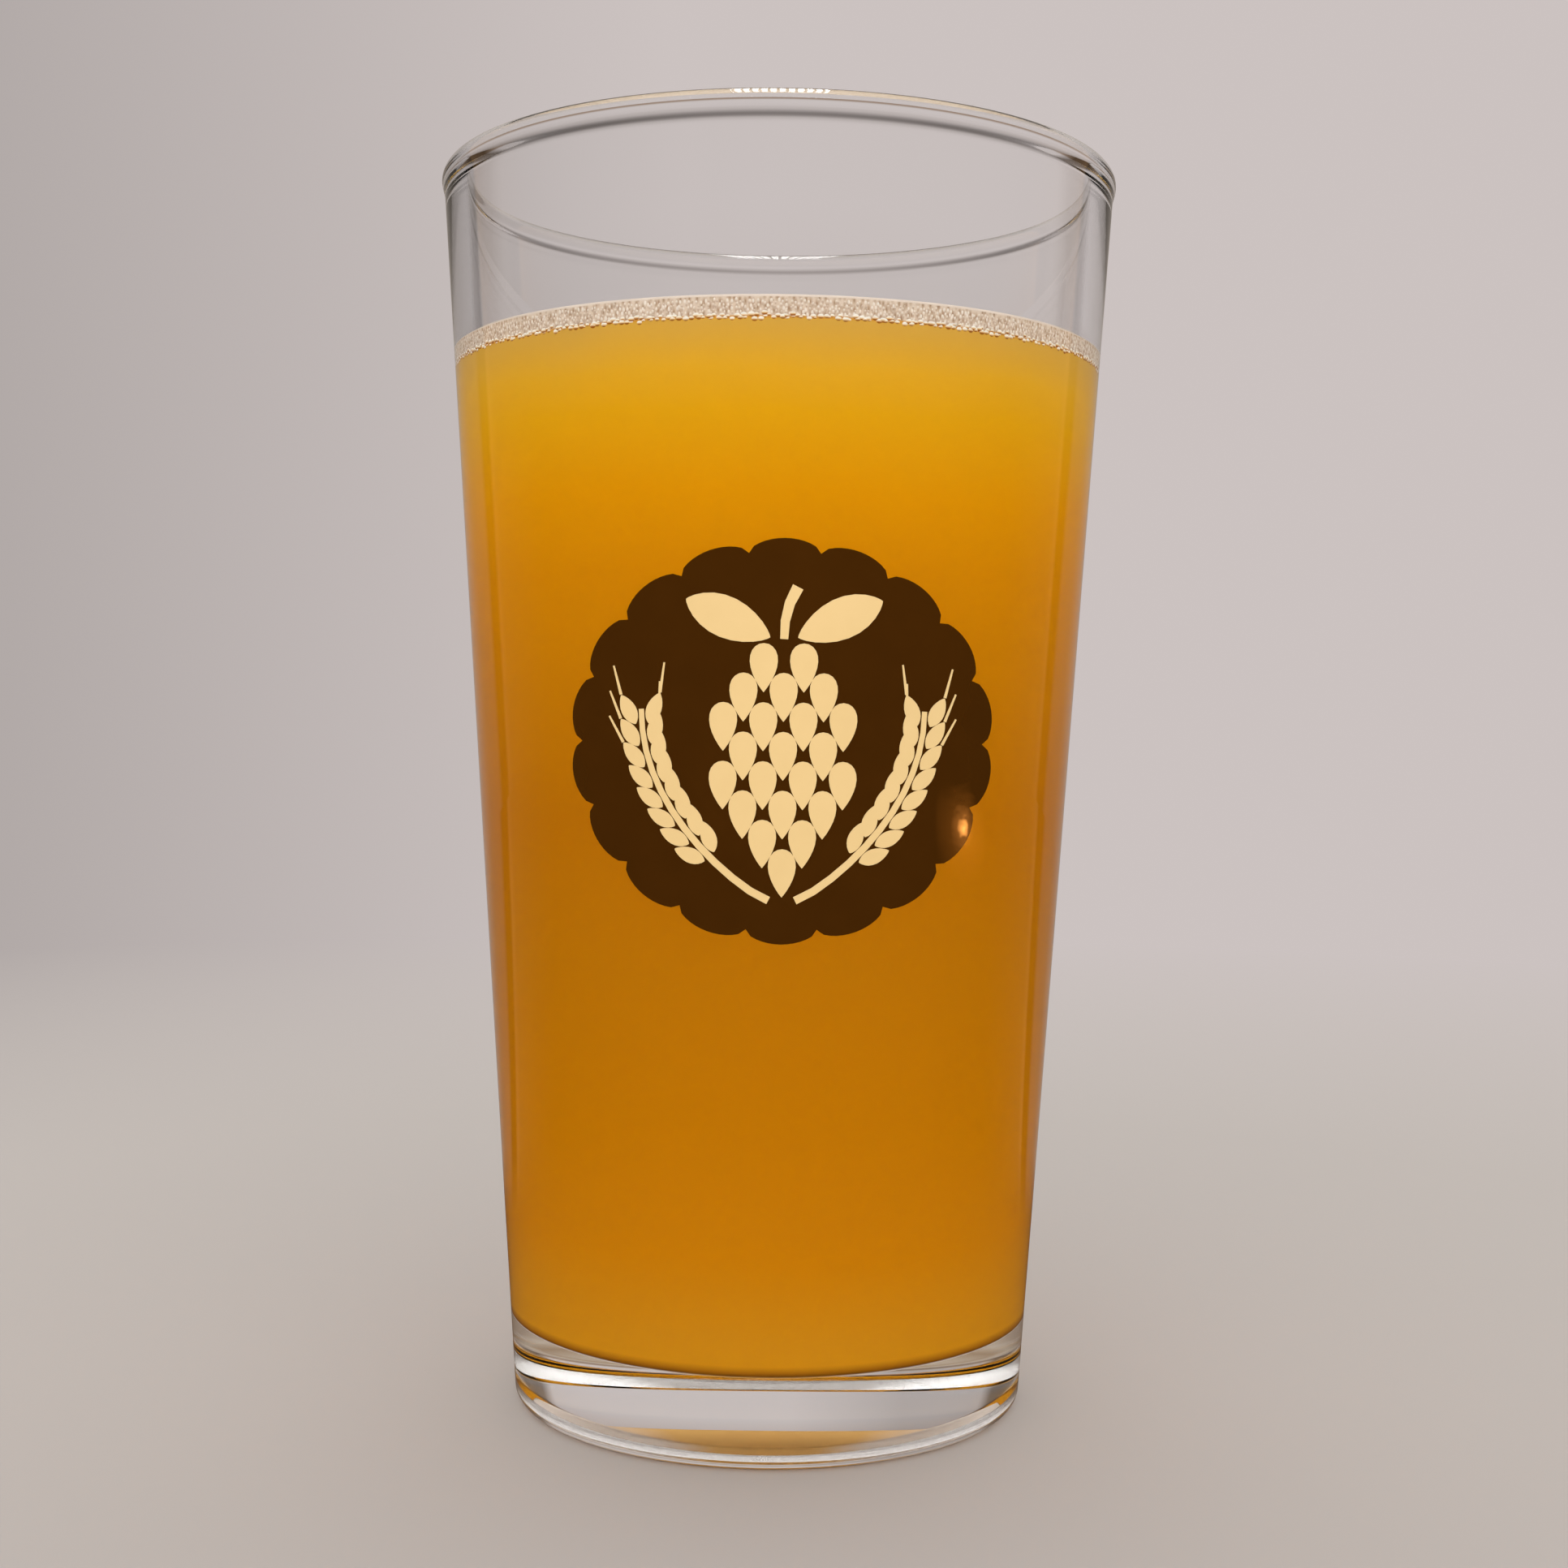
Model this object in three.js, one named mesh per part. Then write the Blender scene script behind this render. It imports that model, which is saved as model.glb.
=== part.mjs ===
// A straight tapered pint glass, poured with hazy golden beer under a thin collar of foam.
// Millimetres, +Z up. The origin is the middle of the underside, and -Y is the side seen in front.

import * as THREE from "three";

// Outer form of the glass
const HEIGHT = 156.4;
const RIM_RADIUS = 43.0; // widest point of the rounded rim
const FOOT_RADIUS = 32.6; // the wall's straight line carried down to the table
const HEEL_RADIUS = 1.8; // rounding between the wall and the underside

// Underside: a flat ring to stand on, round a shallow dish
const DISH_RADIUS = 21.5;
const DISH_STEP = 0.5; // the dish's edge is a short bevel of this depth and width
const DISH_DEPTH = 1.1; // at the middle

// Wall and floor
const WALL_AT_RIM = 2.5;
const WALL_AT_FLOOR = 3.4;
const FLOOR_HEIGHT = 10.2; // top of the thick base, above the table
const FLOOR_CORNER = 4.0; // rounding between the floor and the inner wall

// Rounded rim: it stands a little proud of the wall outside and inside
const BEAD_PROUD_OUT = 0.27;
const BEAD_PROUD_IN = 0.35;
const BEAD_TOP = 1.6; // height of the round top, above the widest point
const BEAD_BLEND = 1.9; // height over which the wall swells to the widest point

// Contents, measured where they meet the wall
const BEER_LEVEL = 131.8;
const FOAM_LEVEL = 134.4;
const FOAM_HOLLOW = 0.9; // the foam's middle lies this far below its edge
const FOAM_CLIMB = 3.0; // width of the sloping edge of the foam
const GAP = 0.3; // clearance between pieces that touch

// Smoothness
const SIDES = 72; // flat sides round the glass
const HEEL_STEPS = 4;
const CORNER_STEPS = 6;
const BLEND_STEPS = 4;
const BEAD_STEPS = 10;
const DISH_STEPS = 3;
const CLIMB_STEPS = 4;

const WIDEST_HEIGHT = HEIGHT - BEAD_TOP;
const TAPER = (RIM_RADIUS - BEAD_PROUD_OUT - FOOT_RADIUS) / WIDEST_HEIGHT;
const QUARTER = Math.PI / 2;

// Radius of the outer wall's straight line at height z.
function outerRadius(z) {
  return FOOT_RADIUS + TAPER * z;
}

// Radius of the inner wall's straight line at height z.
function innerRadius(z) {
  const share = (z - FLOOR_HEIGHT) / (WIDEST_HEIGHT - FLOOR_HEIGHT);
  return outerRadius(z) - THREE.MathUtils.lerp(WALL_AT_FLOOR, WALL_AT_RIM, share);
}

function point(radius, height) {
  return new THREE.Vector2(radius, height);
}

// Points of an elliptical arc about a centre, from one angle to another, both ends included.
function arc(centre, halfWidth, halfHeight, from, to, steps) {
  const points = [];
  for (let i = 0; i <= steps; i += 1) {
    const angle = THREE.MathUtils.lerp(from, to, i / steps);
    points.push(
      point(centre.x + halfWidth * Math.cos(angle), centre.y + halfHeight * Math.sin(angle)),
    );
  }
  return points;
}

// Points of a wall that swells by proud as it rises through the blend below the widest point.
// The first and last heights of the blend are included.
function swelling(wallRadius, proud, steps) {
  const points = [];
  for (let i = 0; i <= steps; i += 1) {
    const share = i / steps;
    const height = WIDEST_HEIGHT - BEAD_BLEND * (1 - share);
    points.push(point(wallRadius(height) + proud * (1 - Math.cos(Math.PI * share)) * 0.5, height));
  }
  return points;
}

// A closed turned solid about +Z from a profile that starts and ends on the axis.
function turned(profile) {
  const geometry = new THREE.LatheGeometry(profile, SIDES);
  geometry.rotateX(QUARTER);
  return geometry;
}

// The dish under the base, from its middle to the inner edge of the flat ring.
function dishProfile() {
  const edge = DISH_RADIUS - DISH_STEP;
  const points = [];
  for (let i = 0; i <= DISH_STEPS; i += 1) {
    const share = i / DISH_STEPS;
    const rise = (DISH_DEPTH - DISH_STEP) * (1 - share * share);
    points.push(point(edge * share, DISH_STEP + rise));
  }
  points.push(point(DISH_RADIUS, 0));
  return points;
}

// The rounded heel, from the flat ring up to the outer wall.
function heelProfile() {
  const centre = point(outerRadius(HEEL_RADIUS) - HEEL_RADIUS, HEEL_RADIUS);
  return arc(centre, HEEL_RADIUS, HEEL_RADIUS, -QUARTER, 0, HEEL_STEPS);
}

// The rim, from the outer wall over the round top and down to the inner wall.
function rimProfile() {
  const outside = swelling(outerRadius, BEAD_PROUD_OUT, BLEND_STEPS);
  const inside = swelling(innerRadius, -BEAD_PROUD_IN, BLEND_STEPS).reverse();
  const outer = outside[outside.length - 1].x;
  const inner = inside[0].x;
  const centre = point((outer + inner) / 2, WIDEST_HEIGHT);
  const top = arc(centre, (outer - inner) / 2, BEAD_TOP, 0, Math.PI, BEAD_STEPS);
  return [...outside, ...top.slice(1, -1), ...inside];
}

// The rounded corner inside the glass, from the wall to the floor, moved inwards by a clearance.
function cornerProfile(clearance) {
  const height = FLOOR_HEIGHT + FLOOR_CORNER;
  const centre = point(innerRadius(height) - FLOOR_CORNER, height);
  const radius = FLOOR_CORNER - clearance;
  return arc(centre, radius, radius, 0, -QUARTER, CORNER_STEPS);
}

function glassGeometry() {
  return turned([
    ...dishProfile(),
    ...heelProfile(),
    ...rimProfile(),
    ...cornerProfile(0),
    point(0, FLOOR_HEIGHT),
  ]);
}

// Beer fills the glass from the floor to half a gap below its level.
function beerGeometry() {
  const top = BEER_LEVEL - GAP / 2;
  return turned([
    point(0, FLOOR_HEIGHT + GAP),
    ...cornerProfile(GAP).reverse(),
    point(innerRadius(top) - GAP, top),
    point(0, top),
  ]);
}

// Foam lies across the beer and climbs a little where it meets the wall.
function foamGeometry() {
  const bottom = BEER_LEVEL + GAP / 2;
  const edge = innerRadius(FOAM_LEVEL) - GAP;
  const climb = [];
  for (let i = 0; i <= CLIMB_STEPS; i += 1) {
    const share = i / CLIMB_STEPS;
    climb.push(point(edge - FOAM_CLIMB * share, FOAM_LEVEL - FOAM_HOLLOW * Math.sin(QUARTER * share)));
  }
  return turned([
    point(0, bottom),
    point(innerRadius(bottom) - GAP, bottom),
    ...climb,
    point(0, FOAM_LEVEL - FOAM_HOLLOW),
  ]);
}

// One named mesh with its own colour.
function piece(name, geometry, finish) {
  const mesh = new THREE.Mesh(geometry, new THREE.MeshStandardMaterial(finish));
  mesh.name = name;
  return mesh;
}

const pint = new THREE.Group();
pint.add(
  piece("glass", glassGeometry(), {
    color: 0xd9dcdc,
    roughness: 0.03,
    metalness: 0,
    transparent: true,
    opacity: 0.35,
  }),
);
pint.add(piece("beer", beerGeometry(), { color: 0xd18a0e, roughness: 0.1, metalness: 0 }));
pint.add(piece("foam", foamGeometry(), { color: 0xd9c8b4, roughness: 0.5, metalness: 0 }));

export default pint;
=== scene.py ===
"""Dresses a pint of hazy golden beer in its straight tapered glass.

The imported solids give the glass's place and size. This script replaces them with a finely turned glass,
a body of hazy beer that reaches just into the wall, foam with its bubbles, and a printed badge.
"""

import logging
import math
from collections.abc import Callable
from dataclasses import dataclass
from enum import Enum

import bpy
import numpy as np
from mathutils import Matrix, Vector

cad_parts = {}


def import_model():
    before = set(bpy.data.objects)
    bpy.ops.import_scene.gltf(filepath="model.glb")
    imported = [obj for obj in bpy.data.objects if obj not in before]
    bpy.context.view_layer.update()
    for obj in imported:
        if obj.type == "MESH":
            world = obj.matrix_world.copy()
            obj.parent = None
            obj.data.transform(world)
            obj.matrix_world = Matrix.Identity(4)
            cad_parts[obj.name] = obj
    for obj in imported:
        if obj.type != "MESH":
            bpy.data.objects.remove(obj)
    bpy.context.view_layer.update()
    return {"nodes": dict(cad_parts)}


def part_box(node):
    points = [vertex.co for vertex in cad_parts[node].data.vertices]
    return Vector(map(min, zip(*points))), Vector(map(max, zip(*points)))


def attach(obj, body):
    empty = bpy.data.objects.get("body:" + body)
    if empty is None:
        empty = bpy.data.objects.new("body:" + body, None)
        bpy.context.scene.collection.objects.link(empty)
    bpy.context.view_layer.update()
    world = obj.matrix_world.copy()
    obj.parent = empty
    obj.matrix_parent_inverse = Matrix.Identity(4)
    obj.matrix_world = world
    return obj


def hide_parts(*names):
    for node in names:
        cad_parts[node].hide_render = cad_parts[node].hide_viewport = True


LOG = logging.getLogger("pint")

MM = 0.001
TURN = math.tau
QUARTER = math.pi / 2
HAIR = 0.0005  # millimetres by which the glass keeps inside its solid
BODY = "root"

Point = tuple[float, float]
Triple = tuple[float, float, float]
Paint = tuple[float, float, float, float]
Stops = tuple[tuple[float, Triple], ...]
Radius = Callable[[float], float]
Piece = bpy.types.Object
Socket = bpy.types.NodeSocket

CLEAR = (1.0, 1.0, 1.0)
BLACK = (0.0, 0.0, 0.0)


class Slot(Enum):
    """The record's material slots."""

    GLASS = "clear_glass"
    BEER = "hazy_beer"
    FOAM = "beer_foam"
    DARK_PRINT = "dark_print"
    PALE_PRINT = "pale_print"


class Node(Enum):
    """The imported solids."""

    GLASS = "glass"
    BEER = "beer"
    FOAM = "foam"


def linear(red: float, green: float, blue: float) -> Paint:
    """Turns a colour as seen on a screen into the renderer's linear one.

    Args:
        red: Red, 0 to 255.
        green: Green, 0 to 255.
        blue: Blue, 0 to 255.

    Returns:
        Linear red, green and blue, and an alpha of 1.
    """
    shares = (channel / 255 for channel in (red, green, blue))
    bent = [s / 12.92 if s <= 0.04045 else ((s + 0.055) / 1.055) ** 2.4 for s in shares]
    return (bent[0], bent[1], bent[2], 1.0)


def arc(
    centre: Point, half_width: float, half_height: float, start: float, end: float, steps: int
) -> list[Point]:
    """Points of an elliptical arc, both ends included.

    Args:
        centre: Radius and height of the ellipse's centre.
        half_width: Its half width along the radius.
        half_height: Its half height.
        start: First angle, in radians, from outwards towards up.
        end: Last angle.
        steps: Number of chords.

    Returns:
        The points as radius and height.
    """
    angles = (start + (end - start) * i / steps for i in range(steps + 1))
    return [(centre[0] + half_width * math.cos(a), centre[1] + half_height * math.sin(a)) for a in angles]


class Bench:
    """Common modelling moves, made with Blender's own operators."""

    @staticmethod
    def clear_selection() -> None:
        """Leaves nothing selected and no object active."""
        bpy.ops.object.select_all(action="DESELECT")
        bpy.context.view_layer.objects.active = None

    @staticmethod
    def pick(piece: Piece) -> None:
        """Makes one piece the only selected and active one.

        Args:
            piece: The piece.
        """
        Bench.clear_selection()
        piece.select_set(True)
        bpy.context.view_layer.objects.active = piece

    @staticmethod
    def name(piece: Piece, name: str) -> Piece:
        """Names a piece and its mesh.

        Args:
            piece: The piece.
            name: The name for both.

        Returns:
            The same piece.
        """
        piece.name = name
        piece.data.name = name
        return piece

    @staticmethod
    def linked(name: str, data: bpy.types.ID) -> Piece:
        """Puts a mesh or a camera into the scene.

        Args:
            name: The new object's name.
            data: Its mesh or camera.

        Returns:
            The new object.
        """
        piece = bpy.data.objects.new(name, data)
        bpy.context.scene.collection.objects.link(piece)
        return piece

    @staticmethod
    def turned(name: str, profile: list[Point], sides: int, sharp: float = math.radians(50)) -> Piece:
        """Spins a profile about the Z axis into one closed solid.

        Args:
            name: The piece's name.
            profile: Radius and height of each point in metres, from the axis round to the axis.
            sides: Number of steps round.
            sharp: Edges that turn by more than this stay crisp, in radians.

        Returns:
            The turned piece, smooth shaded, with its faces pointing out.
        """
        Bench.clear_selection()
        bpy.ops.mesh.primitive_plane_add(size=MM, location=(0, 0, 0))
        piece = Bench.name(bpy.context.object, name)
        bpy.ops.object.mode_set(mode="EDIT")
        bpy.ops.mesh.select_all(action="SELECT")
        bpy.ops.mesh.merge(type="CENTER")
        bpy.ops.transform.translate(value=(profile[0][0], 0, profile[0][1]))
        for (r0, z0), (r1, z1) in zip(profile, profile[1:]):
            bpy.ops.mesh.extrude_region_move(TRANSFORM_OT_translate={"value": (r1 - r0, 0, z1 - z0)})
        bpy.ops.mesh.select_all(action="SELECT")
        bpy.ops.mesh.spin(steps=sides, angle=TURN, center=(0, 0, 0), axis=(0, 0, 1))
        bpy.ops.mesh.select_all(action="SELECT")
        bpy.ops.mesh.remove_doubles(threshold=2e-6)
        bpy.ops.mesh.normals_make_consistent(inside=False)
        bpy.ops.object.mode_set(mode="OBJECT")
        bpy.ops.object.shade_smooth_by_angle(angle=sharp)
        return piece

    @staticmethod
    def modify(piece: Piece, kind: str, **settings: object) -> None:
        """Adds one modifier and applies it.

        Args:
            piece: The piece.
            kind: The modifier's type.
            settings: Values for its properties.
        """
        Bench.pick(piece)
        modifier = piece.modifiers.new(kind.lower(), kind)
        for key, value in settings.items():
            setattr(modifier, key, value)
        bpy.ops.object.modifier_apply(modifier=modifier.name)

    @staticmethod
    def copies(name: str, model: Piece, places: np.ndarray, frames: np.ndarray) -> Piece:
        """Joins many copies of one small model into one mesh, and removes the model.

        Each vertex keeps its height in the model as the attribute "crown", from 0 to 1, and each copy one
        seeded number as the attribute "chance".

        Args:
            name: The joined piece's name.
            model: The small piece, centred on the origin.
            places: One centre for each copy, in metres.
            frames: One 3 by 3 matrix for each copy, which turns and scales the model.

        Returns:
            The joined piece.
        """
        corners = np.array([v.co for v in model.data.vertices])
        faces = [np.array(p.vertices) for p in model.data.polygons]
        count, size = len(places), len(corners)
        spread = np.einsum("nij,vj->nvi", frames, corners) + places[:, None, :]
        every_face = [tuple(f + size * i) for i in range(count) for f in faces]
        mesh = bpy.data.meshes.new(name)
        mesh.from_pydata(spread.reshape(-1, 3).tolist(), [], every_face)
        low, high = corners[:, 2].min(), corners[:, 2].max()
        marks = {
            "crown": np.tile((corners[:, 2] - low) / (high - low), count),
            "chance": np.repeat(np.random.default_rng(count).random(count), size),
        }
        for mark, values in marks.items():
            attribute = mesh.attributes.new(mark, "FLOAT", "POINT")
            attribute.data.foreach_set("value", values.astype(np.float32))
        mesh.polygons.foreach_set("use_smooth", [True] * len(mesh.polygons))
        mesh.update()
        bpy.data.objects.remove(model)
        return Bench.linked(name, mesh)


class Nodes:
    """A node tree, with short calls for the nodes that this object's finishes and its light use."""

    def __init__(self, owner: bpy.types.Material | bpy.types.World) -> None:
        """Starts an empty tree.

        Args:
            owner: The material or world that the tree belongs to.
        """
        self.owner = owner
        owner.use_nodes = True
        self.tree = owner.node_tree
        self.tree.nodes.clear()
        self.output = self.add("OutputWorld" if isinstance(owner, bpy.types.World) else "OutputMaterial")

    @classmethod
    def material(cls, name: str) -> "Nodes":
        """Starts a new material with this name."""
        return cls(bpy.data.materials.new(name))

    def add(self, kind: str, **values: object) -> bpy.types.Node:
        """Adds a node.

        Args:
            kind: The node type's name after "ShaderNode".
            values: Properties of the node, or values of its inputs with spaces written as underscores.

        Returns:
            The new node.
        """
        node = self.tree.nodes.new("ShaderNode" + kind)
        for key, value in values.items():
            if hasattr(node, key):
                setattr(node, key, value)
            else:
                node.inputs[key.replace("_", " ")].default_value = value
        return node

    def link(self, source: object, target: Socket) -> None:
        """Joins an output to an input, or sets the input if the source is a plain value.

        Args:
            source: The output or the value.
            target: The input.
        """
        if isinstance(source, Socket):
            self.tree.links.new(source, target)
        else:
            target.default_value = source

    def math(self, operation: str, a: object, b: object = 0.0) -> Socket:
        """Adds a Math node.

        Args:
            operation: The node's operation.
            a: A number or an output for its first input.
            b: A number or an output for its second input.

        Returns:
            The node's output.
        """
        node = self.add("Math", operation=operation)
        self.link(a, node.inputs[0])
        self.link(b, node.inputs[1])
        return node.outputs[0]

    def place(self) -> Socket:
        """The point on the piece, in its own coordinates."""
        return self.add("TexCoord").outputs["Object"]

    def axes(self, vector: Socket) -> list[Socket]:
        """Splits a vector.

        Args:
            vector: The vector.

        Returns:
            Its X, Y and Z.
        """
        split = self.add("SeparateXYZ")
        self.link(vector, split.inputs[0])
        return list(split.outputs)

    def share(self, source: Socket, low: float, high: float) -> Socket:
        """Finds where a number lies between two others.

        Args:
            source: The number.
            low: Where the result is 0.
            high: Where the result is 1.

        Returns:
            The share, which stays within 0 to 1.
        """
        node = self.add("MapRange", From_Min=low, From_Max=high)
        self.link(source, node.inputs["Value"])
        return node.outputs["Result"]

    def ramp(self, source: Socket, stops: Stops | list) -> Socket:
        """Adds a colour ramp.

        Args:
            source: The number that drives it, in the units of the stops.
            stops: Each stop's place and linear colour, in rising order.

        Returns:
            The ramp's colour.
        """
        low, high = stops[0][0], stops[-1][0]
        ramp = self.add("ValToRGB")
        marks = ramp.color_ramp.elements
        while len(marks) < len(stops):
            marks.new(0.5)
        for mark, (place, colour) in zip(marks, stops):
            mark.position = (place - low) / (high - low)
            mark.color = (*colour[:3], 1.0)
        self.link(self.share(source, low, high), ramp.inputs[0])
        return ramp.outputs["Color"]

    def noise(self, scale: float, detail: float, stretch: Triple = (1, 1, 1)) -> Socket:
        """Adds noise over the piece's own coordinates.

        Args:
            scale: Size of the pattern, in features for each metre.
            detail: Octaves of finer noise.
            stretch: Scale along each axis.

        Returns:
            The noise, from 0 to 1.
        """
        mapping = self.add("Mapping", Scale=stretch)
        self.link(self.place(), mapping.inputs["Vector"])
        noise = self.add("TexNoise", Scale=scale, Detail=detail)
        self.link(mapping.outputs[0], noise.inputs["Vector"])
        return noise.outputs["Fac"]

    def mix(self, share: object, a: object, b: object, blend: str = "MIX") -> Socket:
        """Mixes two colours.

        Args:
            share: How much of the second colour counts, as a number or an output.
            a: The first linear colour or an output.
            b: The second linear colour or an output.
            blend: The way of mixing.

        Returns:
            The mixed colour.
        """
        node = self.add("Mix", data_type="RGBA", blend_type=blend)
        for key, kind, value in (("Factor", "VALUE", share), ("A", "RGBA", a), ("B", "RGBA", b)):
            self.link(value, next(s for s in node.inputs if s.name == key and s.type == kind))
        return next(s for s in node.outputs if s.type == "RGBA")

    def times(self, a: object, b: object) -> Socket:
        """Multiplies two colours."""
        return self.mix(1.0, a, b, "MULTIPLY")

    def plus(self, a: object, b: object) -> Socket:
        """Adds two colours."""
        return self.mix(1.0, a, b, "ADD")

    def vector(self, operation: str, a: Socket, b: Triple = (0, 0, 0)) -> bpy.types.Node:
        """Adds a Vector Math node.

        Args:
            operation: The node's operation.
            a: The first vector.
            b: The second vector.

        Returns:
            The node.
        """
        node = self.add("VectorMath", operation=operation)
        self.link(a, node.inputs[0])
        node.inputs[1].default_value = b
        return node

    def blend(self, share: object, a: Socket, b: Socket) -> Socket:
        """Mixes two shaders.

        Args:
            share: How much of the second shader counts.
            a: The first shader.
            b: The second shader.

        Returns:
            The mixed shader.
        """
        node = self.add("MixShader")
        for socket, value in zip(node.inputs, (share, a, b)):
            self.link(value, socket)
        return node.outputs[0]

    def glow(self, colour: object) -> Socket:
        """Adds a shader that only shines.

        Args:
            colour: Its colour and strength.

        Returns:
            The shader.
        """
        node = self.add("Background" if isinstance(self.owner, bpy.types.World) else "Emission")
        self.link(colour, node.inputs["Color"])
        return node.outputs[0]

    def finish(self, shader: Socket) -> bpy.types.Material | bpy.types.World:
        """Sends a shader to the surface and returns the tree's owner."""
        self.link(shader, self.output.inputs["Surface"])
        return self.owner


@dataclass(frozen=True)
class ClearGlass:
    """Clean pressed glass, faintly grey where it is thick, with the slight waves of a machine-made wall."""

    refraction: float = 1.52
    tint: Paint = (0.82, 0.9, 0.88, 1.0)
    clarity: float = 2.2  # share of light lost for each metre, as an exponent
    wave: float = 0.012

    def material(self) -> bpy.types.Material:
        """Builds the glass's finish.

        Returns:
            The material.
        """
        nodes = Nodes.material("clear_glass")
        glass = nodes.add("BsdfPrincipled", Roughness=0.0, IOR=self.refraction, Base_Color=(*CLEAR, 1.0))
        glass.inputs["Transmission Weight"].default_value = 1.0
        bump = nodes.add("Bump", Strength=self.wave, Distance=MM)
        nodes.link(nodes.noise(70, 1.0, (1, 1, 0.18)), bump.inputs["Height"])
        nodes.link(bump.outputs[0], glass.inputs["Normal"])
        tint = nodes.add("VolumeAbsorption", Color=self.tint, Density=self.clarity)
        nodes.link(tint.outputs[0], nodes.output.inputs["Volume"])
        return nodes.finish(glass.outputs[0])


@dataclass(frozen=True)
class HazyBeer:
    """Unfiltered golden beer in broad soft clouds, with painted light by height: paler yellow under the foam,
    where light comes down through it, and deeper amber lower down.
    """

    haze: float = 0.004  # metres by which the clouds shift the shades up and down
    bottom: float = 10.6  # below this height the beer's flat underside shows
    bottom_blend: float = 0.3
    # the beer's amber with painted light by height: paler near the top, deeper amber lower down
    shades: Stops = (
        (15.0, (215, 147, 24)),
        (24.5, (216, 141, 6)),
        (58.4, (204, 133, 11)),
        (76.0, (200, 127, 11)),
        (104.0, (219, 147, 8)),
        (112.9, (228, 159, 8)),
        (121.8, (231, 174, 22)),
        (126.5, (231, 178, 44)),
        (131.8, (217, 172, 76)),
    )
    # painted shade: a dark line at the beer's foot, standing in for the dark that the base mirrors there
    foot: Stops = ((10.5, (0.14, 0.1, 0.12)), (11.0, (0.5, 0.42, 0.45)), (12.0, (1.0, 1.0, 1.0)))
    # the flat underside: partly the beer's own gold across the middle, then pale grey-beige further out along
    # X as a painted reflection of the clear base
    underside: Stops = ((0.0, (215, 168, 100)), (6.0, (215, 170, 104)), (12.0, (222, 210, 200)))

    def material(self) -> bpy.types.Material:
        """Builds the beer's finish.

        Returns:
            The material.
        """
        nodes = Nodes.material("hazy_beer")
        aside, _, height = nodes.axes(nodes.place())
        cloud = nodes.math("MULTIPLY", nodes.math("SUBTRACT", nodes.noise(38, 3.0), 0.5), self.haze)
        side = nodes.ramp(nodes.math("ADD", height, cloud), [(at * MM, linear(*c)) for at, c in self.shades])
        # underside colour: the beer's gold, with a painted reflection further out along X
        under = nodes.ramp(nodes.math("ABSOLUTE", aside), [(at * MM, linear(*c)) for at, c in self.underside])
        # darkens the beer's foot with painted shade
        side = nodes.times(side, nodes.ramp(height, [(at * MM, shade) for at, shade in self.foot]))
        low = nodes.share(height, self.bottom * MM, (self.bottom - self.bottom_blend) * MM)
        body = nodes.add("BsdfPrincipled", Roughness=0.6, IOR=1.34)
        body.inputs["Specular IOR Level"].default_value = 0.0
        nodes.link(nodes.mix(low, side, under), body.inputs["Base Color"])
        return nodes.finish(body.outputs[0])


@dataclass(frozen=True)
class Froth:
    """The skin of foam bubbles: painted shade at the foot and a painted highlight on the crown, and no two
    quite alike.
    """

    name: str
    foot: Paint
    middle: Paint
    crown: Paint
    spread: float
    bands: tuple[float, ...] = (0.0, 0.22, 0.42, 0.66, 1.0)  # heights where the colours change, foot to crown

    def material(self) -> bpy.types.Material:
        """Builds the bubbles' finish.

        Returns:
            The material.
        """
        nodes = Nodes.material(self.name)
        crown = nodes.add("Attribute", attribute_name="crown").outputs["Fac"]
        chance = nodes.add("Attribute", attribute_name="chance").outputs["Fac"]
        lift = nodes.math("MULTIPLY", nodes.math("SUBTRACT", chance, 0.5), self.spread)
        stops = list(zip(self.bands, (self.foot, self.foot, self.middle, self.crown, self.crown)))
        body = nodes.add("BsdfPrincipled", Roughness=0.3, IOR=1.34)
        # by the bubble's height: the foot colour is painted shade, the crown colour a painted highlight
        nodes.link(nodes.ramp(nodes.math("ADD", crown, lift), stops), body.inputs["Base Color"])
        return nodes.finish(body.outputs[0])


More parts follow.
